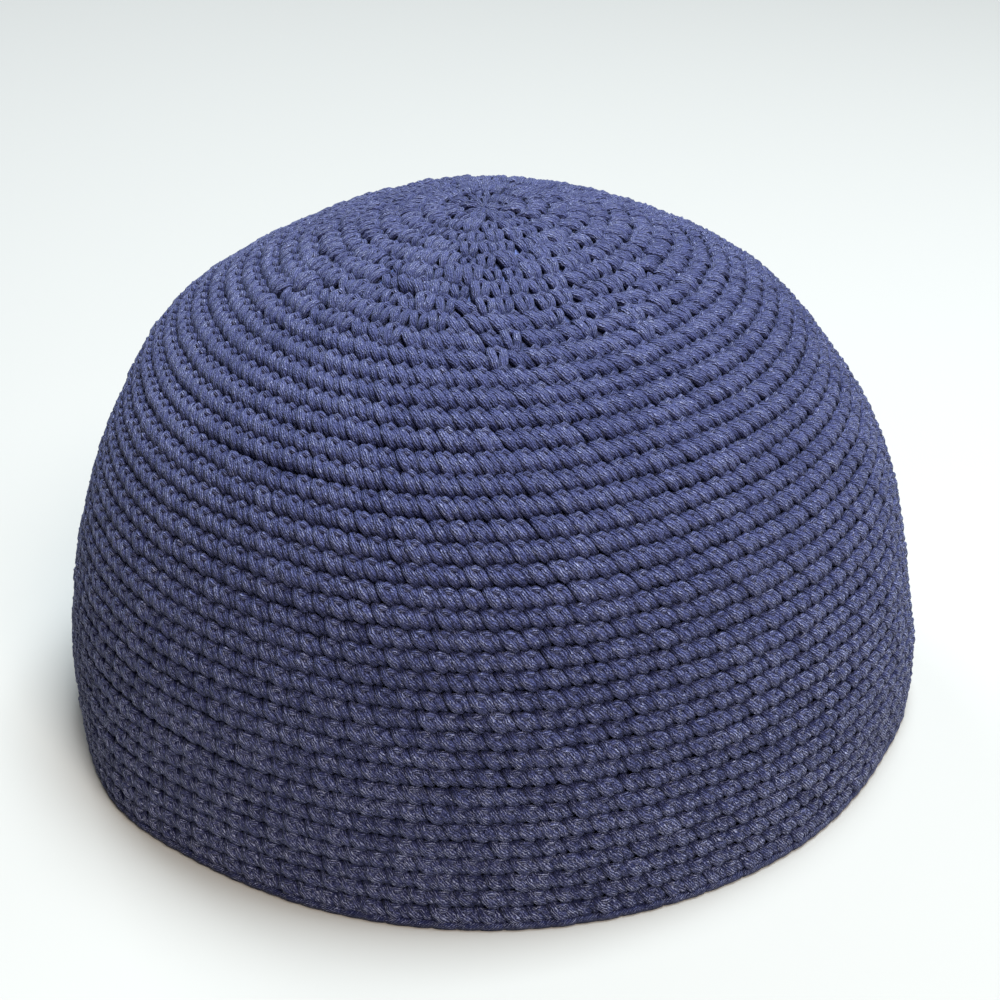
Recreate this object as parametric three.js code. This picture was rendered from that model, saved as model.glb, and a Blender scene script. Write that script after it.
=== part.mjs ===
// Crocheted kufi: a brimless dome cap, worked in one piece of thick single crochet.
// Millimetres, +Z up. +X runs along the longer axis of the slightly oval rim, and -Y is the
// front. The origin is the middle of the open rim, which lies flat at Z = 0.

import * as THREE from 'three';

// Outside sizes of the cap as it stands by itself
const CAP_LENGTH = 198;
const CAP_BREADTH = 181;
const CAP_HEIGHT = 124;

// The crocheted fabric
const WALL = 4;
const ROUND_HEIGHT = 4.5;
const EDGE_ROUND_HEIGHT = 6;
const ROUND_RELIEF = 0.9;
const CROWN_DIMPLE = 1.6;

// How far the plan falls short of an ellipse on its diagonals, as a share of its radius
const PLAN_SLACK = 0.015;

// Lean of the wall from upright, in degrees, at shares of its length from rim to crown:
// at the two ends of the longer axis, at the front and at the back
const WALL_LEAN = [
  { along: 0.0, ends: -2, front: -1, back: -2 },
  { along: 0.1, ends: 2, front: 0, back: 2 },
  { along: 0.2, ends: 7, front: 3, back: 8 },
  { along: 0.3, ends: 15, front: 7, back: 15 },
  { along: 0.4, ends: 22, front: 12, back: 23 },
  { along: 0.5, ends: 31, front: 26, back: 33 },
  { along: 0.6, ends: 45, front: 44, back: 45 },
  { along: 0.7, ends: 58, front: 59, back: 57 },
  { along: 0.8, ends: 69, front: 69, back: 68 },
  { along: 0.9, ends: 79, front: 81, back: 78 },
  { along: 1.0, ends: 88, front: 90, back: 88 },
];

// Soft spots where the cloth stands out or sinks in. The bearing is in degrees from +X towards
// +Y, along is a share of the wall's length from the rim, push is a share of half the cap's
// length (outward is positive), and wide and tall are the spot's reach in degrees and in shares
// of the wall's length.
const SOFT_SPOTS = [
  { bearing: 212, along: 0.0, push: 0.02, wide: 9, tall: 0.1 },
  { bearing: 334, along: 0.0, push: -0.017, wide: 10, tall: 0.1 },
  { bearing: 188, along: 0.1, push: 0.009, wide: 10, tall: 0.08 },
  { bearing: 352, along: 0.08, push: 0.01, wide: 10, tall: 0.05 },
  { bearing: 352, along: 0.22, push: -0.012, wide: 12, tall: 0.08 },
  { bearing: 164, along: 0.6, push: 0.028, wide: 14, tall: 0.07 },
  { bearing: 5, along: 0.52, push: -0.018, wide: 12, tall: 0.06 },
  { bearing: 50, along: 0.75, push: -0.025, wide: 22, tall: 0.1 },
  { bearing: 145, along: 0.73, push: -0.006, wide: 12, tall: 0.08 },
];

// Facets of the solid
const COLUMNS = 48;
const LINING_ROWS = 20;
const PROFILE_STEPS = 400;
const NORMAL_STEP = 0.002;

function leanAt(along, side) {
  const above = WALL_LEAN.findIndex((row) => row.along >= along);
  const low = WALL_LEAN[above - 1];
  const high = WALL_LEAN[above];
  const share = (along - low.along) / (high.along - low.along);
  return THREE.MathUtils.lerp(low[side], high[side], share);
}

// One side's profile with both its width and its height as 1, walked up from the rim by its lean
function unitProfile(side) {
  const width = [0];
  const height = [0];
  for (let step = 0; step < PROFILE_STEPS; step += 1) {
    const lean = THREE.MathUtils.degToRad(leanAt((step + 0.5) / PROFILE_STEPS, side));
    width.push(width[step] + Math.sin(lean));
    height.push(height[step] + Math.cos(lean));
  }
  const fullWidth = width[PROFILE_STEPS];
  const fullHeight = height[PROFILE_STEPS];
  return {
    radius: width.map((value) => 1 - value / fullWidth),
    height: height.map((value) => value / fullHeight),
  };
}

const ENDS = unitProfile('ends');
const FRONT = unitProfile('front');
const BACK = unitProfile('back');

function profileAt(values, along) {
  const place = THREE.MathUtils.clamp(along, 0, 1) * PROFILE_STEPS;
  const step = Math.min(Math.floor(place), PROFILE_STEPS - 1);
  return THREE.MathUtils.lerp(values[step], values[step + 1], place - step);
}

function bell(distance, reach) {
  return Math.exp(-0.5 * (distance / reach) ** 2);
}

function softPush(along, bearing) {
  let push = 0;
  for (const spot of SOFT_SPOTS) {
    const turn = THREE.MathUtils.radToDeg(bearing) - spot.bearing;
    const apart = THREE.MathUtils.euclideanModulo(turn + 180, 360) - 180;
    push += spot.push * bell(apart, spot.wide) * bell(along - spot.along, spot.tall);
  }
  return push * CAP_LENGTH / 2;
}

// A point of the smooth outer surface that the ridges of the rounds touch. The height of a
// round passes evenly from the ends' profile to the front's or the back's.
function outerPoint(along, bearing) {
  const face = Math.sin(bearing) > 0 ? BACK : FRONT;
  const toEnds = profileAt(ENDS.radius, along);
  const toFace = profileAt(face.radius, along);
  const fill = 1 - PLAN_SLACK * (1 - Math.cos(4 * bearing)) / 2;
  const push = softPush(along, bearing) * Math.sqrt(toEnds);
  const turn = Math.sin(bearing) ** 2;
  const heights = [profileAt(ENDS.height, along), profileAt(face.height, along)];
  return new THREE.Vector3(
    (toEnds * fill * CAP_LENGTH / 2 + push) * Math.cos(bearing),
    (toFace * fill * CAP_BREADTH / 2 + push) * Math.sin(bearing),
    THREE.MathUtils.lerp(heights[0], heights[1], turn) * CAP_HEIGHT,
  );
}

// The same surface sunk by a depth along its own normal
function sunkPoint(along, bearing, depth) {
  const low = Math.max(along - NORMAL_STEP, 0);
  const high = Math.min(along + NORMAL_STEP, 1 - NORMAL_STEP);
  const upWall = outerPoint(high, bearing).sub(outerPoint(low, bearing));
  const round = outerPoint(along, bearing + NORMAL_STEP);
  round.sub(outerPoint(along, bearing - NORMAL_STEP));
  const inward = upWall.cross(round).normalize();
  return outerPoint(along, bearing).addScaledVector(inward, depth);
}

// The wall's length from rim to crown, measured up one end of the cap
function wallLength() {
  let length = 0;
  for (let step = 0; step < PROFILE_STEPS; step += 1) {
    const across = (ENDS.radius[step] - ENDS.radius[step + 1]) * CAP_LENGTH / 2;
    const up = (ENDS.height[step + 1] - ENDS.height[step]) * CAP_HEIGHT;
    length += Math.hypot(across, up);
  }
  return length;
}

// Rows from the rim up the outside: a ridge in the middle of each round and a groove above it
function outsideRows() {
  const length = wallLength();
  const edge = EDGE_ROUND_HEIGHT / length;
  const rounds = Math.round((length - EDGE_ROUND_HEIGHT) / ROUND_HEIGHT);
  const rise = (1 - edge) / rounds;
  const rows = [{ along: 0, depth: ROUND_RELIEF }, { along: edge / 2, depth: 0 }];
  for (let round = 0; round < rounds; round += 1) {
    const groove = edge + round * rise;
    rows.push({ along: groove, depth: ROUND_RELIEF });
    rows.push({ along: groove + rise / 2, depth: 0 });
  }
  return rows;
}

// Rows from the crown down the inside, a wall's thickness in from the ridges
function insideRows() {
  const rows = [];
  for (let row = LINING_ROWS - 1; row >= 0; row -= 1) {
    rows.push({ along: row / LINING_ROWS, depth: WALL });
  }
  return rows;
}

function capGeometry() {
  const outside = outsideRows();
  const rows = [...outside, ...insideRows()];
  const points = [];
  for (const row of rows) {
    for (let column = 0; column < COLUMNS; column += 1) {
      const bearing = 2 * Math.PI * column / COLUMNS;
      const point = sunkPoint(row.along, bearing, row.depth);
      points.push(point.x, point.y, row.along === 0 ? 0 : point.z);
    }
  }
  const crownOutside = points.length / 3;
  points.push(0, 0, CAP_HEIGHT - CROWN_DIMPLE);
  const crownInside = crownOutside + 1;
  points.push(0, 0, CAP_HEIGHT - WALL - CROWN_DIMPLE);

  const faces = [];
  const corner = (row, column) => (row % rows.length) * COLUMNS + column % COLUMNS;
  for (let column = 0; column < COLUMNS; column += 1) {
    for (let row = 0; row < rows.length; row += 1) {
      const a = corner(row, column);
      const b = corner(row, column + 1);
      if (row === outside.length - 1) {
        faces.push(a, b, crownOutside);
        faces.push(crownInside, corner(row + 1, column + 1), corner(row + 1, column));
      } else {
        const c = corner(row + 1, column + 1);
        const d = corner(row + 1, column);
        faces.push(a, b, c, a, c, d);
      }
    }
  }
  const geometry = new THREE.BufferGeometry();
  geometry.setAttribute('position', new THREE.Float32BufferAttribute(points, 3));
  geometry.setIndex(faces);
  geometry.computeVertexNormals();
  return geometry;
}

// Slate-navy cotton yarn, matt
const yarn = new THREE.MeshStandardMaterial({ color: 0x464c6a, roughness: 0.9, metalness: 0 });

const cap = new THREE.Mesh(capGeometry(), yarn);
cap.name = 'crocheted_cap';

const kufi = new THREE.Group();
kufi.add(cap);

export default kufi;
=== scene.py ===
# %% [markdown]
# This lesson dresses a crocheted kufi, a round brimless cap. The real cap is one long yarn,
# worked in rounds of single crochet from the middle of the crown down to the rim. The packed
# model gives its size and shape as a plain shell with low ridges. Here the shell gets its
# stitches, and every stitch is a small mesh of yarn, because the yarn's roundness is what catches
# the light. Blender counts in metres, so lengths are written as millimetres times MM.

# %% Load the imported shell
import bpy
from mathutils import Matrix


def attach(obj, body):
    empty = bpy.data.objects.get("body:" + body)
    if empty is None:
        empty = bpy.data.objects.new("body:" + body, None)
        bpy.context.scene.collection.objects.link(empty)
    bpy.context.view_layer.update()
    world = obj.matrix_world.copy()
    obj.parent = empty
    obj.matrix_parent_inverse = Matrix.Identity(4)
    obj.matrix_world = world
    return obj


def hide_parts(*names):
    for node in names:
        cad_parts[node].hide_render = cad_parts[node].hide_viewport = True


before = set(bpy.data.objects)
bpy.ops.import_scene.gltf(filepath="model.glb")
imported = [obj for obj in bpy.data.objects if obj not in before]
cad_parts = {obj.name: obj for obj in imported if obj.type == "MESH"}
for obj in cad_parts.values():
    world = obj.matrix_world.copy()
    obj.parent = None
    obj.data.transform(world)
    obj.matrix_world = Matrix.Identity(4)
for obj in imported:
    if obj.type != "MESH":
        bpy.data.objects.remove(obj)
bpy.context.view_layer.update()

import math

import bpy
import numpy as np
from mathutils import Matrix, Vector

MM = 0.001


def in_mm(corners):
    """Points in millimetres, rounded for printing."""
    return [[round(float(value) / MM, 1) for value in corner] for corner in corners]


# %% [markdown]
# The stitches have to sit on the cap's surface, so the first step is that surface as a function.
# It takes a share of the way up the wall, from 0 at the rim to 1 at the crown, and a bearing
# round the cap, and gives a point. The points could also be found by casting rays at the packed
# shell, but its facets and ridges would show in the stitches, and a function is smooth
# everywhere. The wall leans in more and more as it rises. Its lean is given in degrees at the two
# ends of the longer axis, at the front and at the back, and passes evenly between them. A few
# soft spots push the cloth out or in. Numpy works out many thousand points in one call.

# %% The surface of the cap
CAP_LENGTH, CAP_BREADTH, CAP_HEIGHT = 198 * MM, 181 * MM, 124 * MM
CROWN_DIMPLE, CROWN_DIMPLE_REACH = 1.6 * MM, 4 * MM
# How far the plan falls short of an ellipse on its diagonals, as a share of its radius
PLAN_SLACK = 0.015
# Shares of the wall's length, and the wall's lean from upright in degrees at each of them
LEAN_AT = np.linspace(0, 1, 11)
LEAN = {
    "ends": [-2, 2, 7, 15, 22, 31, 45, 58, 69, 79, 88],
    "front": [-1, 0, 3, 7, 12, 26, 44, 59, 69, 81, 90],
    "back": [-2, 2, 8, 15, 23, 33, 45, 57, 68, 78, 88],
}
# Bearing in degrees, share of the wall's length, push as a share of half the cap's length, and
# the reach round the cap in degrees and up the wall as a share of its length
SOFT_SPOTS = [
    (212, 0.0, 0.02, 9, 0.1),
    (334, 0.0, -0.017, 10, 0.1),
    (188, 0.1, 0.009, 10, 0.08),
    (352, 0.08, 0.01, 10, 0.05),
    (352, 0.22, -0.012, 12, 0.08),
    (164, 0.6, 0.028, 14, 0.07),
    (5, 0.52, -0.018, 12, 0.06),
    (50, 0.75, -0.025, 22, 0.1),
    (145, 0.73, -0.006, 12, 0.08),
]
PROFILE_STEPS = 400
PROFILE_AT = np.linspace(0, 1, PROFILE_STEPS + 1)


def unit_profile(side):
    """Radius and height of one side, both as shares, walked up from the rim by its lean."""
    middles = (np.arange(PROFILE_STEPS) + 0.5) / PROFILE_STEPS
    lean = np.radians(np.interp(middles, LEAN_AT, LEAN[side]))
    width = np.concatenate([[0], np.cumsum(np.sin(lean))])
    height = np.concatenate([[0], np.cumsum(np.cos(lean))])
    return 1 - width / width[-1], height / height[-1]


PROFILES = {side: unit_profile(side) for side in LEAN}


def profile(side, along):
    """Radius and height of one side at shares of the way up the wall."""
    return [np.interp(along, PROFILE_AT, values) for values in PROFILES[side]]


def soft_push(along, bearing):
    """How far the soft spots push the cloth out, as a share of half the cap's length."""
    push = 0
    for spot_bearing, spot_along, spot_push, wide, tall in SOFT_SPOTS:
        apart = (np.degrees(bearing) - spot_bearing + 180) % 360 - 180
        nearness = np.exp(-0.5 * (apart / wide) ** 2 - 0.5 * ((along - spot_along) / tall) ** 2)
        push = push + spot_push * nearness
    return push


def wall_point(along, bearing):
    """Points on the outside of the cap, where the tops of the stitches lie."""
    along = np.clip(along, 0, 1)
    end_radius, end_height = profile("ends", along)
    front_radius, front_height = profile("front", along)
    back_radius, back_height = profile("back", along)
    at_back = np.sin(bearing) > 0
    face_radius = np.where(at_back, back_radius, front_radius)
    face_height = np.where(at_back, back_height, front_height)
    fill = 1 - PLAN_SLACK * (1 - np.cos(4 * bearing)) / 2
    push = soft_push(along, bearing) * CAP_LENGTH / 2 * np.sqrt(end_radius)
    x = (end_radius * fill * CAP_LENGTH / 2 + push) * np.cos(bearing)
    y = (face_radius * fill * CAP_BREADTH / 2 + push) * np.sin(bearing)
    z = (end_height + (face_height - end_height) * np.sin(bearing) ** 2) * CAP_HEIGHT
    dimple = CROWN_DIMPLE * np.exp(-0.5 * (x ** 2 + y ** 2) / CROWN_DIMPLE_REACH ** 2)
    return np.stack([x, y, z - dimple], axis=-1)


grid_along, grid_bearing = np.meshgrid(np.linspace(0, 1, 200), np.linspace(0, 2 * np.pi, 361))
grid = wall_point(grid_along, grid_bearing).reshape(-1, 3)
print("surface in mm:", in_mm([grid.min(0), grid.max(0)]))

# %% [markdown]
# Yarn also has to know which way is out of the cloth, so that it can lie on the surface or sink
# into it. A small step up the wall and a small step round it give two directions in the surface,
# and their cross product stands square on both.

# %% The way out of the surface
NORMAL_STEP = 0.002
TINY = 1e-12


def unit(vectors):
    """The same directions with a length of 1."""
    return vectors / np.maximum(np.linalg.norm(vectors, axis=-1, keepdims=True), TINY)


def wall_normal(along, bearing):
    """Outward directions at right angles to the surface."""
    up = wall_point(np.minimum(along + NORMAL_STEP, 1 - NORMAL_STEP), bearing)
    up = up - wall_point(np.maximum(along - NORMAL_STEP, 0), bearing)
    sideways = wall_point(along, bearing + NORMAL_STEP) - wall_point(along, bearing - NORMAL_STEP)
    return unit(np.cross(sideways, up))


print("outward halfway up the front:", wall_normal(0.5, -np.pi / 2).round(2))

# %% [markdown]
# The camera stands where the photographer stood, above the front of the cap and close to it. A
# close camera makes the near side look larger than the far side, so distance matters as much as
# direction. The numbers were fitted until the outline and the rounds fell where they do in the
# photo. The place is given by its distance and its height angle. The camera looks at the middle
# of the rim, and three small turns then frame the cap: pan, tilt and roll. Blender wants a lens
# in millimetres for a sensor of some width, so the fitted length in pixels is scaled to that.

# %% The camera
# The elevation is in radians, and the three turns are given in degrees
CAMERA_DISTANCE = 486.1046 * MM
CAMERA_ELEVATION = 0.6132
CAMERA_PAN, CAMERA_TILT, CAMERA_ROLL = (math.radians(v) for v in (-0.22831, 5.09854, 1.52395))
FOCAL_PIXELS, IMAGE_SIDE = 1981.4726, 1000
SENSOR = 36
CLIP_START, CLIP_END = 0.01, 50

camera_data = bpy.data.cameras.new("photo_camera")
camera_data.sensor_width = SENSOR
camera_data.lens = FOCAL_PIXELS * SENSOR / IMAGE_SIDE
camera_data.clip_start = CLIP_START
camera_data.clip_end = CLIP_END
place = Vector((0, -math.cos(CAMERA_ELEVATION), math.sin(CAMERA_ELEVATION))) * CAMERA_DISTANCE
ahead = -place.normalized()
right = Vector((1, 0, 0))
above = right.cross(ahead)
pan = Matrix.Rotation(CAMERA_PAN, 3, above)
ahead, right = pan @ ahead, pan @ right
tilt = Matrix.Rotation(CAMERA_TILT, 3, right)
ahead, above = tilt @ ahead, tilt @ above
roll = Matrix.Rotation(CAMERA_ROLL, 3, ahead)
right, above = roll @ right, roll @ above
turned = Matrix((right, above, -ahead)).transposed().to_4x4()
camera = bpy.data.objects.new("photo_camera", camera_data)
camera.matrix_world = Matrix.Translation(place) @ turned
bpy.context.collection.objects.link(camera)
bpy.context.scene.camera = camera
print("lens in mm:", round(camera_data.lens, 2), "camera at", [round(v, 3) for v in place])

# %% [markdown]
# The cap stands on a plain pale floor, one large square. Its paint is darker and warmer than it
# looks in the picture, because the lamps over it are bright and a little blue.

# %% The floor
FLOOR_SIDE = 8
FLOOR_COLOUR = (0.43, 0.40, 0.36)
FLOOR_ROUGHNESS = 0.8

half = FLOOR_SIDE / 2
floor_corners = [(-half, -half, 0), (half, -half, 0), (half, half, 0), (-half, half, 0)]
floor_mesh = bpy.data.meshes.new("floor")
floor_mesh.from_pydata(floor_corners, [], [(0, 1, 2, 3)])
floor_paint = bpy.data.materials.new("pale_floor")
floor_paint.use_nodes = True
floor_shader = floor_paint.node_tree.nodes["Principled BSDF"]
floor_shader.inputs["Base Color"].default_value = (*FLOOR_COLOUR, 1)
floor_shader.inputs["Roughness"].default_value = FLOOR_ROUGHNESS
floor_mesh.materials.append(floor_paint)
floor = bpy.data.objects.new("floor", floor_mesh)
bpy.context.collection.objects.link(floor)
print("floor:", FLOOR_SIDE, "m wide")

# %% [markdown]
# The light is soft daylight. A lamp high above makes every round bright on its upper side and
# dark below. A warmer one in front lights the wall, a weak bluish one stands at the right, and a
# soft one behind keeps the far side from going black. A pale sky fills the shadows a little. The
# lamps are squares more than twice as wide as the cap, because large lamps give soft shadows, and
# that suits yarn. The Standard view shows the colours as they are worked out, with no film look.

# %% Lamps and sky
LAMP_SIDE = 0.5
# Name, place and target in metres, watts and colour
LAMPS = [
    ("sky_lamp", (0.22, 0.02, 1.2), (0, 0, 0.06), 29, (0.74, 0.88, 1.0)),
    ("front_lamp", (0.38, -0.84, 1.1), (0, 0, 0.04), 15.5, (1.0, 0.93, 0.87)),
    ("side_lamp", (1.1, -0.1, 0.6), (0, 0, 0.05), 3, (0.70, 0.85, 1.0)),
    ("back_lamp", (-0.5, 0.9, 0.9), (0, 0, 0.05), 8, (0.80, 0.90, 1.0)),
]
SKY_COLOUR, SKY_STRENGTH = (0.86, 0.93, 1.0), 0.09

for lamp_name, lamp_place, target, watts, colour in LAMPS:
    lamp_data = bpy.data.lights.new(lamp_name, "AREA")
    lamp_data.size = LAMP_SIDE
    lamp_data.energy = watts
    lamp_data.color = colour
    lamp = bpy.data.objects.new(lamp_name, lamp_data)
    lamp.location = lamp_place
    towards = Vector(target) - Vector(lamp_place)
    lamp.rotation_euler = towards.to_track_quat("-Z", "Y").to_euler()
    bpy.context.collection.objects.link(lamp)

sky = bpy.data.worlds.new("pale_sky")
bpy.context.scene.world = sky
sky.use_nodes = True
background = sky.node_tree.nodes["Background"]
background.inputs["Color"].default_value = (*SKY_COLOUR, 1)
background.inputs["Strength"].default_value = SKY_STRENGTH
bpy.context.scene.view_settings.view_transform = "Standard"
print("lamps:", ", ".join(f"{row[0]} {row[3]} W" for row in LAMPS))

# %% [markdown]
# Blender works out a surface's colour in a tree of shader nodes. A tree can be joined up by hand
# in the shader editor, but in a script every node and link takes several lines. This small class
# adds a node, sets or links its inputs, and gives back its output, so each sum below is one line.

# %% A helper for shader nodes
class Nodes:
    """One material, and short ways to add nodes to its tree."""

    def __init__(self, name):
        self.material = bpy.data.materials.new(name)
        self.material.use_nodes = True
        self.tree = self.material.node_tree
        self.shader = self.tree.nodes["Principled BSDF"]

    def add(self, kind, inputs=None, **settings):
        made = self.tree.nodes.new(kind)
        for name, value in settings.items():
            setattr(made, name, value)
        for key, value in (inputs or {}).items():
            if isinstance(value, bpy.types.NodeSocket):
                self.tree.links.new(value, made.inputs[key])
            else:
                made.inputs[key].default_value = value
        return made

    def math(self, operation, a, b=0.0, c=0.0):
        return self.add("ShaderNodeMath", {0: a, 1: b, 2: c}, operation=operation).outputs[0]

    def scale_add(self, a, b, c):
        """a times b plus c, the sum that most of a tree is made of."""
        return self.math("MULTIPLY_ADD", a, b, c)

    def attribute(self, name):
        return self.add("ShaderNodeAttribute", attribute_name=name).outputs["Fac"]

    def noise(self, vector, scale, detail=2.0):
        inputs = {"Vector": vector, "Scale": scale, "Detail": detail}
        return self.add("ShaderNodeTexNoise", inputs).outputs["Fac"]

    def height(self, place):
        return self.add("ShaderNodeSeparateXYZ", {0: place}).outputs[2]

    def ramp(self, value, stops):
        """A colour between the stops, each of them a place and its colour."""
        made = self.add("ShaderNodeValToRGB", {"Fac": value})
        elements = made.color_ramp.elements
        while len(elements) < len(stops):
            elements.new(0.5)
        for element, (stop, colour) in zip(elements, stops):
            element.position = stop
            element.color = (*colour, 1)
        return made.outputs["Color"]

    def dress(self, colour, relief, relief_height, finish):
        """Joins colour and bump to the shader and sets its other values."""
        self.tree.links.new(colour, self.shader.inputs["Base Color"])
        inputs = {"Height": relief, "Strength": 1.0, "Distance": relief_height}
        bump = self.add("ShaderNodeBump", inputs)
        self.tree.links.new(bump.outputs[0], self.shader.inputs["Normal"])
        for socket, value in finish.items():
            self.shader.inputs[socket].default_value = value
        print("material", self.material.name, "has", len(self.tree.nodes), "nodes")
        return self.material


# %% [markdown]
# The yarn is matt cotton, spun from many fine plies. They are too fine for the mesh, so the
# material gives them their bump, and painted shade that darkens the grooves between them. Each
# stitch carries a UV map that runs in millimetres along the yarn and round it. Stripes in that map
# are plies, and a slant in the stripes makes them twist. Noise pushes the stripes about, so that
# they look like soft spun fibre and not like a screw thread.

# %% The plies of the yarn
# Millimetres round the yarn from ply to ply, and plies crossed in a millimetre along it
PLY_PITCH = 0.56
PLY_TWIST, PLY_TWIST_SPREAD = -0.15, 0.10
# Scale of each noise, and how many plies it pushes the stripes aside
PLY_WANDER = [(500, 1.8), (1900, 1.3)]
# How clear the plies are in places: scale of the noise, its weight, and the value without it
CLEARNESS_SCALE, CLEARNESS_GAIN, CLEARNESS_BASE = 800, 2.0, -0.2


def yarn_plies(nodes, place, along, turn):
    """The number of plies up to a point, and how near it is to the back of its own ply."""
    twist = nodes.scale_add(nodes.attribute("tint"), PLY_TWIST_SPREAD, PLY_TWIST)
    plies = nodes.math("DIVIDE", turn, PLY_PITCH)
    plies = nodes.math("ADD", plies, nodes.math("MULTIPLY", along, twist))
    for scale, push in PLY_WANDER:
        plies = nodes.scale_add(nodes.noise(place, scale), push, plies)
    wave = nodes.math("COSINE", nodes.math("MULTIPLY", plies, 2 * math.pi))
    ply_back = nodes.scale_add(wave, 0.5, 0.5)
    clearness = nodes.noise(place, CLEARNESS_SCALE)
    clearness = nodes.scale_add(clearness, CLEARNESS_GAIN, CLEARNESS_BASE)
    return plies, nodes.math("MULTIPLY", ply_back, clearness)


print("plies round a yarn 2 mm thick:", round(2 * math.pi / PLY_PITCH))

# %% [markdown]
# The colour is worked out as one number from dark to light, which a ramp turns into a colour:
# painted shade at the dark end, the dye in the middle and painted highlight at the light end.
# Plies add painted shade in the grooves between them, fibres add painted highlight, flecks add
# to it too, each stitch has a small tint of its own, and slow patches cloud the dye a little.
# Yarn that lies deep is darker, by a painted shade that each point of the mesh carries, because
# little light gets down there. Low on the wall this painted light and shade is stronger: the
# fibres are crisper and the gaps are darker than at the crown, where the work is slack. A bump
# from the same fibres makes them catch the light, and a little sheen stands for the fuzz on the
# cotton.

# %% The yarn's material
# Fibres are noise over plies and over a small share of each millimetre along the yarn
FIBRE_STRETCH, FIBRE_SCALE, FIBRE_DETAIL = 0.36, 2.8, 3.0
FLECK_SCALE = 2600
# What plies (painted shade in their grooves), fibres (painted highlight) and flecks add to the
# lightness, their mean, and the mean of the yarn
PLY_LIGHT, FIBRE_LIGHT, FLECK_LIGHT = 0.34, 0.75, 0.60
PATTERN_MEAN, YARN_MEAN = 0.81, 0.42
# Contrast of that pattern of painted shade and highlight at the top of the cap, and what
# it gains on the way down
CRISPNESS_TOP, CRISPNESS_BELOW, CRISPNESS_POWER = 0.90, 1.25, 2.0
TINT_LIGHT = 0.045
PATCH_SCALE, PATCH_MEAN, PATCH_LIGHT = 45, 0.5, 0.10
# What full painted shade adds to the lightness at the top, and what it adds besides down to the
# rim
SHADE_TOP, SHADE_BELOW = -0.42, -0.60
# Weights of fibres and flecks in the bump beside the plies, and the bump's height
FIBRE_RELIEF, FLECK_RELIEF, YARN_RELIEF = 0.8, 0.4, 0.35 * MM
# Lightness, and the colour there: painted shade at the dark end, the dye in the middle and
# painted highlight at the light end
YARN_DYE_AND_PAINTED_LIGHT = [
    (0.12, (0.002, 0.004, 0.042)),
    (0.50, (0.062, 0.067, 0.168)),
    (0.95, (0.350, 0.358, 0.510)),
]
YARN_FINISH = {
    "Roughness": 0.6,
    "Specular IOR Level": 0.28,
    "Sheen Weight": 0.11,
    "Sheen Roughness": 0.4,
    "Sheen Tint": (0.62, 0.68, 0.95, 1),
}


def yarn_material():
    """Spun cotton, painted lighter on plies and fibres and painted darker deep in the cloth."""
    nodes = Nodes("navy_cotton_yarn")
    place = nodes.add("ShaderNodeTexCoord").outputs["Object"]
    yarn_uv = nodes.add("ShaderNodeUVMap", uv_map="YarnUV").outputs[0]
    split = nodes.add("ShaderNodeSeparateXYZ", {0: yarn_uv})
    along, turn = split.outputs[0], split.outputs[1]
    plies, ply_back = yarn_plies(nodes, place, along, turn)
    stretched = nodes.math("MULTIPLY", along, FIBRE_STRETCH)
    fibre_place = nodes.add("ShaderNodeCombineXYZ", {0: stretched, 1: plies}).outputs[0]
    fibre = nodes.noise(fibre_place, FIBRE_SCALE, FIBRE_DETAIL)
    fleck = nodes.noise(place, FLECK_SCALE)
    # Painted shade in the grooves between plies and painted highlight on fibres; flecks add too
    light = nodes.math("MULTIPLY", ply_back, PLY_LIGHT)
    light = nodes.scale_add(fibre, FIBRE_LIGHT, light)
    light = nodes.scale_add(fleck, FLECK_LIGHT, light)
    # Share of the way down from the top; towards the rim the painted shade and highlight grow
    # stronger
    below_top = nodes.scale_add(nodes.height(place), -1 / CAP_HEIGHT, 1.0)
    low = nodes.math("POWER", below_top, CRISPNESS_POWER)
    crispness = nodes.scale_add(low, CRISPNESS_BELOW, CRISPNESS_TOP)
    light = nodes.math("MULTIPLY", nodes.math("ADD", light, -PATTERN_MEAN), crispness)
    light = nodes.math("ADD", light, YARN_MEAN)
    light = nodes.scale_add(nodes.attribute("tint"), TINT_LIGHT, light)
    patches = nodes.math("ADD", nodes.noise(place, PATCH_SCALE), -PATCH_MEAN)
    light = nodes.scale_add(patches, PATCH_LIGHT, light)
    # Painted shade: yarn deep in the cloth is darkened by its shade, more so towards the rim
    darkening = nodes.scale_add(below_top, SHADE_BELOW, SHADE_TOP)
    light = nodes.scale_add(nodes.attribute("shade"), darkening, light)
    relief = nodes.scale_add(fibre, FIBRE_RELIEF, ply_back)
    relief = nodes.scale_add(fleck, FLECK_RELIEF, relief)
    return nodes.dress(nodes.ramp(light, YARN_DYE_AND_PAINTED_LIGHT), relief, YARN_RELIEF, YARN_FINISH)


YARN = yarn_material()

# %% [markdown]
# Every yarn in the cap is a tube that is closed at both ends. Blender could sweep a curve for
# each, but thousands of curves are slow, and a curve can't be flat in one place and round in the
# next. Here a tube is a row of rings round a middle line. A ring is a slightly square section,
# flatter at its back, with most of its points on the outside, where they are seen. Its points are
# numbered in the same way in every tube, so the faces of one tube serve them all.

# %% The section and the faces of a tube
# Directions of a ring's points, in degrees from the yarn's right side round over its outside
SECTIONS = {
    6: [-90, -10, 45, 90, 135, 190],
    4: [-90, 0, 90, 180],
}
SQUARENESS = 0.8
BACK_THICKNESS = 0.7
# Width of a usual section for its thickness, to measure how far round each point lies
SECTION_WIDTH = 1.5


def yarn_section(sides):
    """Points round a flattened yarn, and the share of the way round at each of them."""
    angle = np.radians(SECTIONS[sides])
    across = np.sign(np.cos(angle)) * np.abs(np.cos(angle)) ** SQUARENESS
    out = np.sign(np.sin(angle)) * np.abs(np.sin(angle)) ** SQUARENESS
    out = np.where(out < 0, BACK_THICKNESS * out, out)
    ring = np.stack([SECTION_WIDTH * across, out], 1)
    steps = np.linalg.norm(np.diff(ring, axis=0, append=ring[:1]), axis=1)
    return across, out, np.concatenate([[0], np.cumsum(steps)]) / steps.sum()


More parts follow.
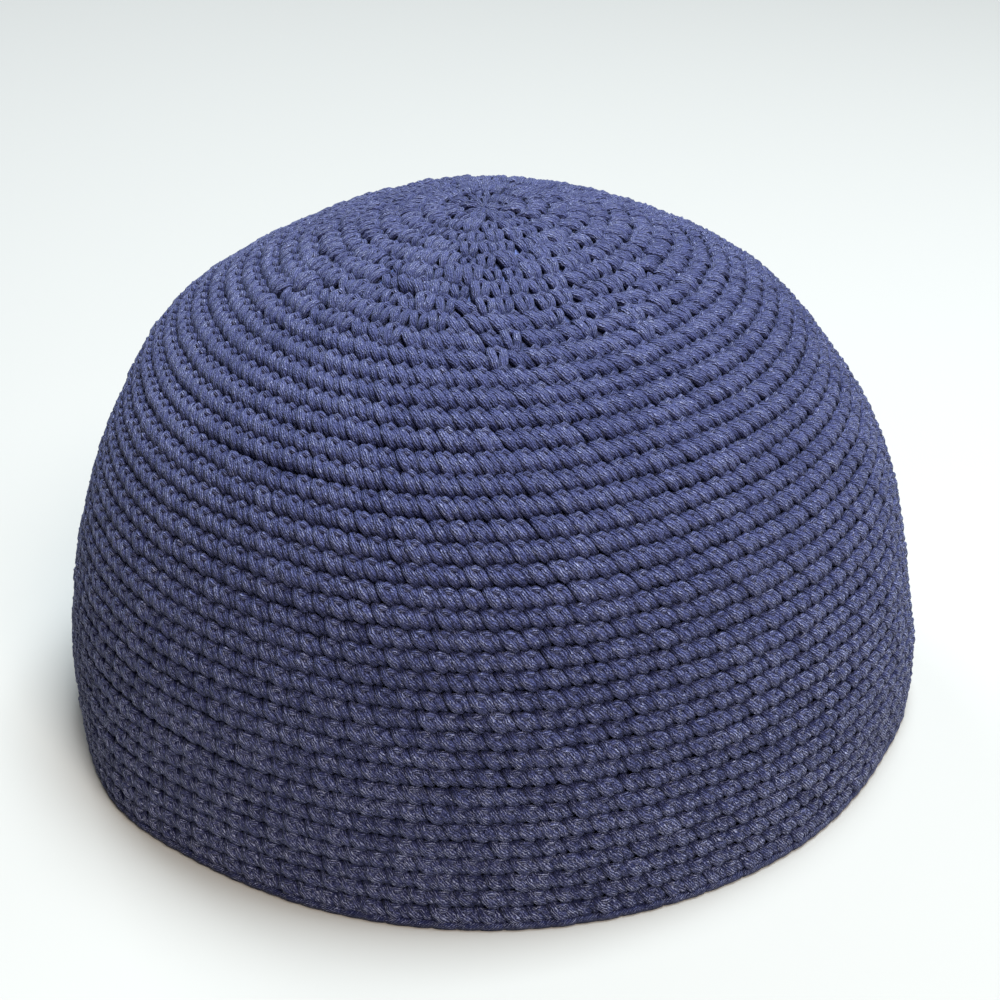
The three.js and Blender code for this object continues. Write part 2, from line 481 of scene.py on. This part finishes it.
def tube_faces(rings, sides):
    """Two groups of faces, quads and end triangles: corners, rings and sides of each corner."""
    ring, side = np.meshgrid(np.arange(rings - 1), np.arange(sides), indexing="ij")
    ring, side = ring.ravel(), side.ravel()
    after = (side + 1) % sides
    quads = [ring * sides + side, (ring + 1) * sides + side]
    quads += [(ring + 1) * sides + after, ring * sides + after]
    quad_along = np.stack([ring, ring + 1, ring + 1, ring], 1) + 1
    quad_turn = np.stack([side, side, side + 1, side + 1], 1)
    side = np.arange(sides)
    after = (side + 1) % sides
    last = (rings - 1) * sides
    start, end = rings * sides, rings * sides + 1
    caps = np.concatenate([
        np.stack([np.full(sides, start), side, after], 1),
        np.stack([np.full(sides, end), last + after, last + side], 1),
    ])
    cap_along = np.concatenate([
        np.tile([0, 1, 1], (sides, 1)),
        np.tile([rings + 1, rings, rings], (sides, 1)),
    ])
    cap_turn = np.concatenate([
        np.stack([side + 0.5, side, side + 1], 1),
        np.stack([side + 0.5, side + 1, side], 1),
    ])
    return (np.stack(quads, 1), quad_along, quad_turn), (caps, cap_along, cap_turn)


print("a tube of 6 rings and 6 sides:", [len(group[0]) for group in tube_faces(6, 6)],
      "quads and triangles")

# %% [markdown]
# Now the tubes of a whole table of stitches are made at once, as arrays. Each middle line comes
# with the direction that is outward at each of its points, and with a width, a thickness and a
# depth under the face that is seen. The rings are set square to the line. A point's shade is 0
# near the seen face and 1 deep in the cloth, where it has only other yarn around it, and the
# material darkens the yarn by it: painted shade. The renderer finds some of that darkness by
# itself. The painted shade stands in for the rest, the light that the fuzz between the yarns would
# swallow. The mesh doesn't have that fuzz.

# %% Tubes along many lines
# Depths under the seen face where the painted shade begins and where it is full
SHADE_FROM, SHADE_TO = 0.42 * MM, 2.0 * MM
# How far the closed ends stand out: as a share of the thickness, and in millimetres of yarn
END_BULGE, END_RUN = 0.5, 0.5
# The way round a yarn of this section, for a mean radius of 1
GIRTH = 5.52


def yarn_tubes(path, outward, width, thickness, tint, deep, facing, sides):
    """Tubes along many middle lines, as one bundle of arrays.

    deep is how far the line lies under the seen face, and facing is 1 where that face is outward
    and -1 where it is inward. The bundle's twist says how many millimetres the plies turn round
    the yarn in each millimetre along it, beside what the material gives them.
    """
    count, rings = path.shape[:2]
    ahead = unit(np.gradient(path, axis=1))
    across = unit(np.cross(ahead, outward))
    out = np.cross(across, ahead)
    ring_across, ring_out, _ = yarn_section(sides)
    points = path[:, :, None] + across[:, :, None] * (width[..., None] * ring_across)[..., None]
    points = points + out[:, :, None] * (thickness[..., None] * ring_out)[..., None]
    ends = [path[:, 0] - ahead[:, 0] * thickness[:, :1] * END_BULGE]
    ends += [path[:, -1] + ahead[:, -1] * thickness[:, -1:] * END_BULGE]
    points = np.concatenate([points.reshape(count, -1, 3), np.stack(ends, 1)], 1)
    point_deep = deep[..., None] - thickness[..., None] * ring_out * facing
    end_deep = np.stack([deep[:, 0], deep[:, -1]], 1)
    point_deep = np.concatenate([point_deep.reshape(count, -1), end_deep], 1)
    steps = np.linalg.norm(np.diff(path, axis=1), axis=2)
    length = np.concatenate([np.zeros((count, 1)), np.cumsum(steps, 1)], 1) / MM
    return {
        "points": points,
        "shade": np.clip((point_deep - SHADE_FROM) / (SHADE_TO - SHADE_FROM), 0, 1),
        "tint": tint,
        "length": np.concatenate([length[:, :1] - END_RUN, length, length[:, -1:] + END_RUN], 1),
        "girth": GIRTH * (width.max(1) + thickness.max(1)) / 2 / MM,
        "twist": 0,
        "rings": rings,
        "sides": sides,
    }


print("shade begins", round(SHADE_FROM / MM, 2), "mm under the face and is full at",
      round(SHADE_TO / MM, 2), "mm")

# %% [markdown]
# The arrays then become a mesh. Blender takes long lists of numbers whole with foreach_set, and
# that is far quicker than adding points one by one. The mesh gets two UV maps. YarnUV serves the
# material, and begins at another place in every stitch, so that no two look alike. OFBake gives
# every tube a square of its own in one picture, so that the finish can be baked without two
# stitches sharing a place. The cap is one body, so every piece rides on the root.

# %% From arrays to a piece
# Each tube begins a golden share of 40 mm further on in the pattern than the one before it
SCATTER_STEP, SCATTER = 0.618, 40
# The empty share of a baking square at each of its sides
BAKE_MARGIN = 0.04


def tube_corners(bundle, first_point, first_cell, columns):
    """Corner numbers, face sizes, yarn map and baking map of a bundle, in two groups of faces."""
    count, per_tube = bundle["points"].shape[:2]
    rings, sides = bundle["rings"], bundle["sides"]
    turn_shares = yarn_section(sides)[2]
    start = first_point + per_tube * np.arange(count)[:, None, None]
    cell = first_cell + np.arange(count)
    square = np.stack([cell % columns, cell // columns], 1)[:, None, None]
    offset = ((cell * SCATTER_STEP) % 1 * SCATTER)[:, None, None]
    groups = []
    for faces, along, turn in tube_faces(rings, sides):
        run = bundle["length"][:, along] + offset
        turn_share = np.interp(turn, np.arange(sides + 1), turn_shares)
        around = turn_share * bundle["girth"][:, None, None] + offset + bundle["twist"] * run
        spot = np.stack([along / (rings + 1), turn / sides], -1)
        spot = spot * (1 - 2 * BAKE_MARGIN) + BAKE_MARGIN
        groups.append((
            (start + faces).ravel(),
            np.full(count * len(faces), faces.shape[1]),
            np.stack([run, around], -1).reshape(-1, 2),
            ((square + spot) / columns).reshape(-1, 2),
        ))
    return groups


def finish_piece(name, mesh, material, replaces=None):
    mesh.materials.append(material)
    mesh.validate()
    piece = bpy.data.objects.new(name, mesh)
    bpy.context.collection.objects.link(piece)
    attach(piece, "root")
    if replaces:
        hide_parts(replaces)
    triangles = sum(len(p.vertices) - 2 for p in mesh.polygons)
    print(name, "has", triangles, "triangles")
    return piece


def join_yarn(name, bundles, material):
    """One piece from bundles of tubes, with its two maps, its tints and its shades."""
    columns = math.ceil(math.sqrt(sum(len(bundle["points"]) for bundle in bundles)))
    groups, first_point, first_cell = [], 0, 0
    for bundle in bundles:
        groups += tube_corners(bundle, first_point, first_cell, columns)
        count, per_tube = bundle["points"].shape[:2]
        first_point += count * per_tube
        first_cell += count
    corners, sizes, yarn_uv, bake_uv = (np.concatenate(part) for part in zip(*groups))
    points = np.concatenate([bundle["points"].reshape(-1, 3) for bundle in bundles])
    tints = [np.repeat(bundle["tint"], bundle["points"].shape[1]) for bundle in bundles]
    shades = [bundle["shade"].ravel() for bundle in bundles]
    mesh = bpy.data.meshes.new(name)
    mesh.vertices.add(len(points))
    mesh.vertices.foreach_set("co", points.ravel().astype(np.float32))
    mesh.loops.add(len(corners))
    mesh.loops.foreach_set("vertex_index", corners.astype(np.int32))
    mesh.polygons.add(len(sizes))
    starts = np.concatenate([[0], np.cumsum(sizes)[:-1]])
    mesh.polygons.foreach_set("loop_start", starts.astype(np.int32))
    mesh.update(calc_edges=True)
    for map_name, values in (("OFBake", bake_uv), ("YarnUV", yarn_uv)):
        uv = mesh.uv_layers.new(name=map_name)
        uv.data.foreach_set("uv", values.ravel().astype(np.float32))
    for attribute_name, values in (("tint", tints), ("shade", shades)):
        attribute = mesh.attributes.new(attribute_name, "FLOAT", "POINT")
        attribute.data.foreach_set("value", np.concatenate(values).astype(np.float32))
    mesh.shade_smooth()
    return finish_piece(name, mesh, material)


print("each baking square is used to", round(100 * (1 - 2 * BAKE_MARGIN)), "% of its side")

# %% [markdown]
# Before the stitches come, the wall is divided into its rounds. Hand work keeps one height from
# round to round, so they share the wall's length evenly. Only the edge is a little taller,
# because it holds the rim's round and the chain under it.

# %% The rounds
ROUND_HEIGHT, EDGE_ROUND_HEIGHT = 4.5 * MM, 6 * MM

ends_radius, ends_height = PROFILES["ends"]
wall_steps = np.diff(ends_radius) * CAP_LENGTH / 2, np.diff(ends_height) * CAP_HEIGHT
WALL_LENGTH = np.hypot(*wall_steps).sum()
EDGE = EDGE_ROUND_HEIGHT / WALL_LENGTH
ROUNDS = round((WALL_LENGTH - EDGE_ROUND_HEIGHT) / ROUND_HEIGHT)
RISE = (1 - EDGE) / ROUNDS
print(ROUNDS, "rounds and the edge, each", round(RISE * WALL_LENGTH / MM, 2), "mm high")

# %% [markdown]
# Between the stitches of real crochet you see only shadow and more yarn. To model all of that
# yarn would cost far more mesh than it shows. So a thin dark shell of the same fabric stands
# behind the stitches, closes the gaps between them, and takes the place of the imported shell. Its
# outside follows the rounds: it rises under each round and sinks between two.

# %% The shape of the fabric behind the stitches
CORE_COLUMNS = 126
# Depths under the cap's surface: behind a round, between two rounds, and on the inside
CORE_RIDGE_DEPTH, CORE_GROOVE_DEPTH, CORE_INSIDE_DEPTH = 1.7 * MM, 2.5 * MM, 3.1 * MM
# The shell begins this share of the way up the wall, behind the edge's chain
CORE_LOWEST = 0.8 * MM / WALL_LENGTH


def fabric_shell():
    """A closed shell: rows up the outside, the crown, and rows down the inside."""
    outside = [(CORE_LOWEST, CORE_GROOVE_DEPTH), (EDGE / 2, CORE_RIDGE_DEPTH)]
    for number in range(ROUNDS):
        outside.append((EDGE + number * RISE, CORE_GROOVE_DEPTH))
        outside.append((EDGE + (number + 0.5) * RISE, CORE_RIDGE_DEPTH))
    inside = [(EDGE + (number + 0.5) * RISE, CORE_INSIDE_DEPTH) for number in range(ROUNDS)]
    inside = inside[::-1] + [(CORE_LOWEST, CORE_INSIDE_DEPTH)]
    rows = outside + inside
    bearing = 2 * np.pi * np.arange(CORE_COLUMNS) / CORE_COLUMNS
    points = []
    for along, depth in rows:
        along = np.full(CORE_COLUMNS, along)
        points.append(wall_point(along, bearing) - wall_normal(along, bearing) * depth)
    top = wall_point(np.array([1.0]), np.array([0.0]))
    points += [top - [0, 0, CORE_RIDGE_DEPTH], top - [0, 0, CORE_INSIDE_DEPTH]]
    points = np.concatenate(points)
    crown_out, crown_in = len(points) - 2, len(points) - 1
    faces = []
    for row in range(len(rows)):
        for column in range(CORE_COLUMNS):
            a, b = (row * CORE_COLUMNS + c for c in (column, (column + 1) % CORE_COLUMNS))
            if row == len(outside) - 1:
                faces += [(a, b, crown_out), (crown_in, b + CORE_COLUMNS, a + CORE_COLUMNS)]
            else:
                shift = (row + 1) % len(rows) * CORE_COLUMNS - row * CORE_COLUMNS
                faces.append((a, b, b + shift, a + shift))
    mesh = bpy.data.meshes.new("fabric_core")
    mesh.from_pydata(points.tolist(), [], faces)
    mesh.shade_smooth()
    return mesh


CORE_MESH = fabric_shell()
print("fabric shell:", len(CORE_MESH.vertices), "points")

# %% [markdown]
# The shell's colour is the yarn's own in deep shadow, with a fine fuzz so that it doesn't look
# like paint. On the wall the gaps are nearly black. At the crown the work is slacker and the
# light comes straight down into it, so there the shell is a lighter blue.

# %% The look of the fabric behind the stitches
FUZZ_SCALE, FUZZ_DETAIL, FUZZ_RELIEF = 900, 3, 0.4 * MM
CROWN_LIGHT, CROWN_LIGHT_POWER = 0.42, 4.0
SHADOW_DYE = [
    (0.3, (0.003, 0.004, 0.018)),
    (0.75, (0.026, 0.032, 0.090)),
    (1.0, (0.085, 0.110, 0.270)),
]
SHADOW_FINISH = {"Roughness": 0.95}


def core_material():
    """Yarn in shadow, lighter towards the crown."""
    nodes = Nodes("yarn_in_shadow")
    place = nodes.add("ShaderNodeTexCoord").outputs["Object"]
    fuzz = nodes.noise(place, FUZZ_SCALE, FUZZ_DETAIL)
    share_up = nodes.math("DIVIDE", nodes.height(place), CAP_HEIGHT)
    share_up = nodes.math("MAXIMUM", share_up, 0.0)
    lit = nodes.math("POWER", share_up, CROWN_LIGHT_POWER)
    light = nodes.scale_add(lit, CROWN_LIGHT, fuzz)
    return nodes.dress(nodes.ramp(light, SHADOW_DYE), fuzz, FUZZ_RELIEF, SHADOW_FINISH)


finish_piece("fabric_core", CORE_MESH, core_material(), "crocheted_cap")

# %% [markdown]
# Next comes a plan of the stitches. The crown starts with a ring of a few stitches and every
# round adds about the same number, until the cap is wide enough. From there down the number stays
# the same. Hand work is never quite even, so the rounds wander a little and each stitch gets its
# own small error. Near the crown the work is slack, so the errors are larger there and some
# stitches are open. The errors come from a seeded generator, so each run gives the same cap.

# %% The plan of the stitches
STITCHES_ROUND, STITCHES_ADDED = 126, 6.6
# Each round below the crown starts this share of a stitch further back than the one above it
DRIFT = 0.15
# The share of the edge that the chain under the last round takes
EDGE_CHAIN_SHARE = 0.205
# Rounds counted from the crown, and the share of open stitches and the slant at each of them
OPEN_BY_ROUND = ([7, 13], [1, 0])
SLANT_BY_ROUND = ([5, 12, 20, 28], [1.0, 1.2, 1.2, 1.0])
# Waves in the wandering of a round, and their height as a share of the round's
WAVE_PARTS, WAVE_HEIGHT = 6, 0.03
# Errors of a stitch, as shares of its turn, its height, its size and its slant
BEARING_ERROR, HEIGHT_ERROR, SIZE_ERROR, SLANT_ERROR = 0.07, 0.02, 0.06, 0.08
# The error of its lift in millimetres, and what all errors gain where the work is slack
LIFT_ERROR, SLACK_ERRORS = 0.1, 1.6
rng = np.random.default_rng(19)


def slow_wave(bearing):
    """A smooth random curve round the cap, about 1 high."""
    total = np.zeros_like(bearing)
    for waves in range(1, WAVE_PARTS + 1):
        wave = rng.normal() * np.cos(waves * bearing + rng.uniform(0, 2 * np.pi))
        total += wave / WAVE_PARTS ** 0.5
    return total


def plan_round(number):
    """The stitches of one round, counted from the crown. The one after the last is the rim."""
    count = min(round(STITCHES_ADDED * number), STITCHES_ROUND)
    start = rng.uniform(0, count) if count < STITCHES_ROUND else -DRIFT * number
    bearing = 2 * np.pi * (np.arange(count) + start) / count
    bearing = bearing + rng.uniform(-BEARING_ERROR, BEARING_ERROR, count) * 2 * np.pi / count
    if number <= ROUNDS:
        middle, tall = 1 - (number - 0.5) * RISE, RISE
    else:
        tall = EDGE * (1 - EDGE_CHAIN_SHARE)
        middle = EDGE - tall / 2
    loose = np.interp(number, *OPEN_BY_ROUND)
    slant = np.interp(number, *SLANT_BY_ROUND)
    uneven = 1 + SLACK_ERRORS * loose
    along = middle + slow_wave(bearing) * WAVE_HEIGHT * RISE
    along = along + rng.normal(0, HEIGHT_ERROR, count) * RISE * uneven
    step = wall_point(np.full(count, middle), bearing + np.pi / count)
    step = step - wall_point(np.full(count, middle), bearing - np.pi / count)
    return {
        "along": along,
        "bearing": bearing,
        "tall": np.full(count, tall),
        "turn": np.full(count, 2 * np.pi / count),
        "pitch": np.linalg.norm(step, axis=1),
        "size": 1 + rng.uniform(-SIZE_ERROR, SIZE_ERROR, count) * uneven,
        "slant": slant * (1 + rng.normal(0, SLANT_ERROR, count) * uneven),
        "lift": rng.normal(0, LIFT_ERROR, count) * MM * uneven,
        "tint": rng.uniform(-1, 1, count),
        "open": rng.uniform(0, 1, count) < loose,
    }


def join_rounds(rounds):
    """One plan from the plans of several rounds."""
    return {key: np.concatenate([r[key] for r in rounds]) for key in rounds[0]}


plan = [plan_round(number) for number in range(1, ROUNDS + 2)]
print("stitches:", sum(len(r["along"]) for r in plan), "in", len(plan), "rounds")
print("pitch at the crown, shoulder and rim in mm:",
      [round(float(plan[i]["pitch"].mean()) / MM, 2) for i in (5, 18, 39)])

# %% [markdown]
# Seen from outside, a single crochet is two slanting legs of yarn side by side, with a small loop
# in the notch at the top of them. The legs of one stitch lean over those of the next, so a round
# looks like a twisted rope. Each yarn is given as a short table of its middle line, and the plan
# puts the same tables all round the cap. Their ends dive into the cloth, where they are hidden,
# and the middles stand out to catch the light from above.

# %% One stitch
# Each row: across and up as shares of the stitch, then depth under the cap's surface, half the
# yarn's width and half its thickness in millimetres
LEFT_LEG = np.array([
    (-0.55, 0.50, 3.10, 0.95, 0.80),
    (-0.46, 0.37, 1.85, 1.18, 1.02),
    (-0.29, 0.14, 1.15, 1.31, 1.15),
    (-0.09, -0.12, 1.10, 1.33, 1.15),
    (0.09, -0.35, 1.60, 1.24, 1.08),
    (0.19, -0.50, 2.85, 1.00, 0.82),
])
RIGHT_LEG = np.array([
    (-0.02, 0.48, 3.10, 0.80, 0.72),
    (0.06, 0.35, 2.05, 0.97, 0.93),
    (0.21, 0.13, 1.40, 1.12, 1.06),
    (0.40, -0.12, 1.32, 1.14, 1.06),
    (0.58, -0.35, 1.85, 1.02, 0.97),
    (0.68, -0.49, 2.90, 0.84, 0.78),
])
LOOP = np.array([
    (-0.25, 0.30, 1.90, 0.56, 0.54),
    (-0.17, 0.38, 1.02, 0.74, 0.74),
    (-0.07, 0.41, 0.74, 0.81, 0.82),
    (0.03, 0.38, 1.02, 0.74, 0.74),
    (0.11, 0.30, 1.90, 0.56, 0.54),
])
STITCH = (LEFT_LEG, RIGHT_LEG, LOOP)
print("a stitch has", len(STITCH), "yarns, the thickest",
      round(2 * max(table[:, 4].max() for table in STITCH), 2), "mm thick")

# %% [markdown]
# Near the middle of the crown the work is slacker. The two legs of a stitch stand apart there and
# show as a narrow V, and the slits between them are open. That is another shape and not another
# size, so these stitches have tables of their own.

# %% One slack stitch
OPEN_LEFT = np.array([
    (-0.34, 0.58, 1.95, 0.88, 0.84),
    (-0.31, 0.34, 1.18, 1.05, 1.00),
    (-0.26, 0.08, 0.90, 1.12, 1.06),
    (-0.20, -0.18, 0.98, 1.10, 1.02),
    (-0.16, -0.38, 1.48, 0.99, 0.90),
    (-0.13, -0.58, 2.15, 0.82, 0.75),
])
OPEN_RIGHT = np.array([
    (0.34, 0.52, 2.05, 0.88, 0.80),
    (0.32, 0.32, 1.28, 1.02, 0.96),
    (0.29, 0.08, 1.03, 1.08, 1.02),
    (0.25, -0.16, 1.08, 1.06, 0.98),
    (0.20, -0.36, 1.54, 0.96, 0.88),
    (0.16, -0.56, 2.25, 0.80, 0.74),
])
OPEN_LOOP = np.array([
    (-0.22, 0.32, 1.70, 0.60, 0.60),
    (-0.11, 0.42, 1.05, 0.78, 0.72),
    (0.01, 0.45, 0.80, 0.85, 0.78),
    (0.13, 0.42, 1.05, 0.78, 0.72),
    (0.24, 0.34, 1.70, 0.60, 0.60),
])
OPEN_STITCH = (OPEN_LEFT, OPEN_RIGHT, OPEN_LOOP)
print("slack stitches:", sum(int(r["open"].sum()) for r in plan))

# %% [markdown]
# Laying a table means turning its shares into places on the cap, for every stitch at once. Across
# becomes a bearing, up becomes a way up the wall, and the depth is taken off along the surface's
# outward direction. The yarn keeps its thickness everywhere, but where the stitches stand closer
# together it is pressed narrower. The lower part of a leg counts as deeper for its shade, because
# the round's own bulge keeps the daylight off it.

# %% Laying the yarn
USUAL_PITCH = 4.4 * MM
# How much further a stitch leans across, over its height, for each 1 that its slant gains
LEAN_BY_SLANT = 0.54
# Depth of the inside face, and how much deeper the foot of a leg counts for its shade
FABRIC = 4.0 * MM
UNDER_DEEPER = 0.35 * MM


def lay(table, stitches, sides, inside=False):
    """Lays one table's yarn at every stitch and returns the bundle of tubes."""
    across, up, depth, width, thickness = table.T
    size = stitches["size"][:, None]
    narrow = (stitches["pitch"] / USUAL_PITCH)[:, None]
    along = stitches["along"][:, None] + up * stitches["tall"][:, None] * size
    lean = up * LEAN_BY_SLANT * (stitches["slant"][:, None] - 1)
    bearing = stitches["bearing"][:, None] + (across - lean) * stitches["turn"][:, None]
    outward = wall_normal(along, bearing)
    sink = depth * MM - stitches["lift"][:, None]
    path = wall_point(along, bearing) - outward * sink[..., None]
    if inside:
        deep, facing = FABRIC - sink, -1
    else:
        deep, facing = sink + UNDER_DEEPER * np.clip(-2 * up, 0, 1), 1
    return yarn_tubes(path, outward, width * MM * size * narrow, thickness * MM * size,
                      stitches["tint"], deep, facing, sides)


def only(stitches, wanted):
    """The plan of some of the stitches."""
    return {key: value[wanted] for key, value in stitches.items()}


def stitch_yarns(stitches):
    """Both legs and the loop of every stitch, the slack stitches by their own tables."""
    tight = only(stitches, ~stitches["open"])
    bundles = [lay(table, tight, 6) for table in STITCH]
    if stitches["open"].any():
        slack = only(stitches, stitches["open"])
        bundles += [lay(table, slack, 6) for table in OPEN_STITCH]
    return bundles


print("yarn width at the rim, as a share of the usual:",
      round(float(plan[ROUNDS]["pitch"].mean() / USUAL_PITCH), 2))

# %% [markdown]
# The rounds of the outside are made in five bands from the crown down. One mesh could hold them
# all, but smaller pieces are easier to handle, to bake and to look at one by one.

# %% The outside of the cap
# Rounds counted from the crown, from the first up to the last, which belongs to the next band
BANDS = {
    "crown_rounds": (0, 14),
    "upper_rounds": (14, 20),
    "shoulder_rounds": (20, 27),
    "side_rounds": (27, 34),
    "lower_rounds": (34, 39),
}
for band, (first, last) in BANDS.items():
    join_yarn(band, stitch_yarns(join_rounds(plan[first:last])), YARN)

# %% [markdown]
# The rim is the last round. Below it runs a thin edge, which keeps the rim from stretching. It is
# worked as a chain that looks like a tight cord and tucks under the last round. Each of its links
# is one short yarn that lies nearly level and dives under the next, with its plies turned more
# than in the stitches, and it is a little shaded all over because the round above overhangs it.

# %% The rim and its chain edge
# Across, up, depth, half width and half thickness, as in the tables of the stitch
EDGE_LINK = np.array([
    (-0.74, -0.06, 1.60, 0.82, 0.80),
    (-0.40, 0.00, 1.02, 0.95, 0.98),
    (0.00, 0.02, 0.90, 0.97, 1.02),
    (0.40, -0.01, 1.02, 0.95, 0.98),
    (0.74, -0.09, 1.60, 0.82, 0.80),
])
LINK_HEIGHT = 1.13 * MM
# How tall the links are, and how uneven, as shares of the rim's stitches
LINK_TALL, LINK_LIFT = 0.5, 0.5
# The least shade on a link, and the extra turn of its plies
LINK_SHADE, LINK_TWIST = 0.2, -0.9

rim = plan[ROUNDS]
links = {
    **rim,
    "along": np.full_like(rim["along"], LINK_HEIGHT / WALL_LENGTH),
    "tall": rim["tall"] * LINK_TALL,
    "lift": rim["lift"] * LINK_LIFT,
    "size": np.ones_like(rim["size"]),
}
chain = lay(EDGE_LINK, links, 6)
chain["twist"] = LINK_TWIST
chain["shade"] = np.maximum(chain["shade"], LINK_SHADE)
join_yarn("rim_round", stitch_yarns(rim) + [chain], YARN)

# %% [markdown]
# The inside of the cap shows the back of the same stitches. There each stitch is one short bar of
# yarn that lies along the round. It is seen only through the opening and in shadow, so a section
# of four points is enough for it.

# %% The back of the stitches
# Across, up, depth, half width and half thickness again
BACK_BAR = np.array([
    (-0.46, 0.00, 3.1, 0.70, 0.60),
    (-0.18, 0.06, 3.45, 1.05, 0.75),
    (0.18, 0.10, 3.45, 1.05, 0.75),
    (0.46, 0.06, 3.1, 0.70, 0.60),
])
join_yarn("inside_rounds", [lay(BACK_BAR, join_rounds(plan), 4, inside=True)], YARN)
